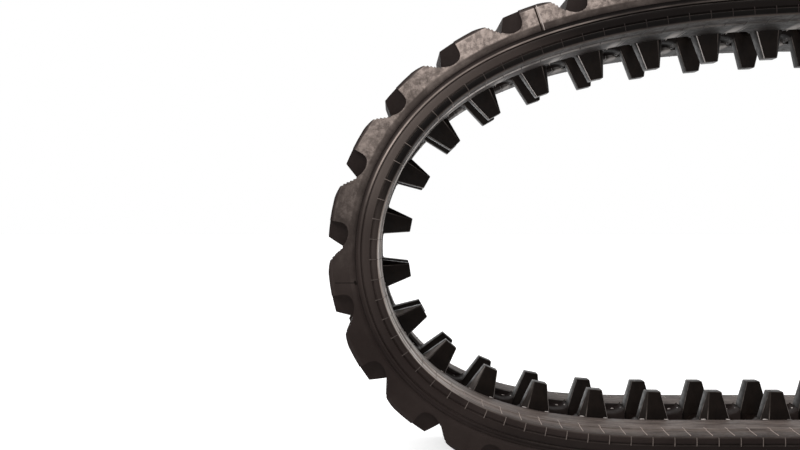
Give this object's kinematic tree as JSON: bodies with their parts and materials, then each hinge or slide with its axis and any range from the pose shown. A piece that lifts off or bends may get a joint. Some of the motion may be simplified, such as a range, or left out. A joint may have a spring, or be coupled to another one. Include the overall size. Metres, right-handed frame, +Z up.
{
  "type": "rubber track",
  "caption": "Endless rubber track for a small excavator, set out as a closed loop, with steel cores, guide horns, cord belts and straight tread blocks.",
  "frame": {"origin": "centre of the loop's footprint, on the ground under the lower run", "axes": "+X along the loop's length, +Y across the belt from the near side to the far side, +Z up"},
  "size_m": [1.1197, 0.23, 0.382],
  "materials": {
    "tread_rubber": "matt black rubber, dusty on the tread faces",
    "inner_rubber": "black rubber with a slight mould sheen",
    "core_steel": "forged steel under a thin black skin",
    "cord_steel": "brass-coated steel cord"
  },
  "bodies": {
    "root": {"tread_rubber": "tread_rubber", "inner_rubber_near": "inner_rubber", "inner_rubber_far": "inner_rubber", "cord_belt_near": "cord_steel", "cord_belt_far": "cord_steel", "core_01": "core_steel", "core_02": "core_steel", "core_03": "core_steel", "core_04": "core_steel", "core_05": "core_steel", "core_06": "core_steel", "core_07": "core_steel", "core_08": "core_steel", "core_09": "core_steel", "core_10": "core_steel", "core_11": "core_steel", "core_12": "core_steel", "core_13": "core_steel", "core_14": "core_steel", "core_15": "core_steel", "core_16": "core_steel", "core_17": "core_steel", "core_18": "core_steel", "core_19": "core_steel", "core_20": "core_steel", "core_21": "core_steel", "core_22": "core_steel", "core_23": "core_steel", "core_24": "core_steel", "core_25": "core_steel", "core_26": "core_steel", "core_27": "core_steel", "core_28": "core_steel", "core_29": "core_steel", "core_30": "core_steel", "core_31": "core_steel", "core_32": "core_steel", "core_33": "core_steel", "core_34": "core_steel", "core_35": "core_steel", "core_36": "core_steel", "core_37": "core_steel", "core_38": "core_steel", "core_39": "core_steel", "core_40": "core_steel", "core_41": "core_steel", "core_42": "core_steel", "core_43": "core_steel", "core_44": "core_steel", "core_45": "core_steel", "core_46": "core_steel", "core_47": "core_steel", "core_48": "core_steel", "core_49": "core_steel", "core_50": "core_steel", "core_51": "core_steel", "core_52": "core_steel"}
  },
  "joints": []
}
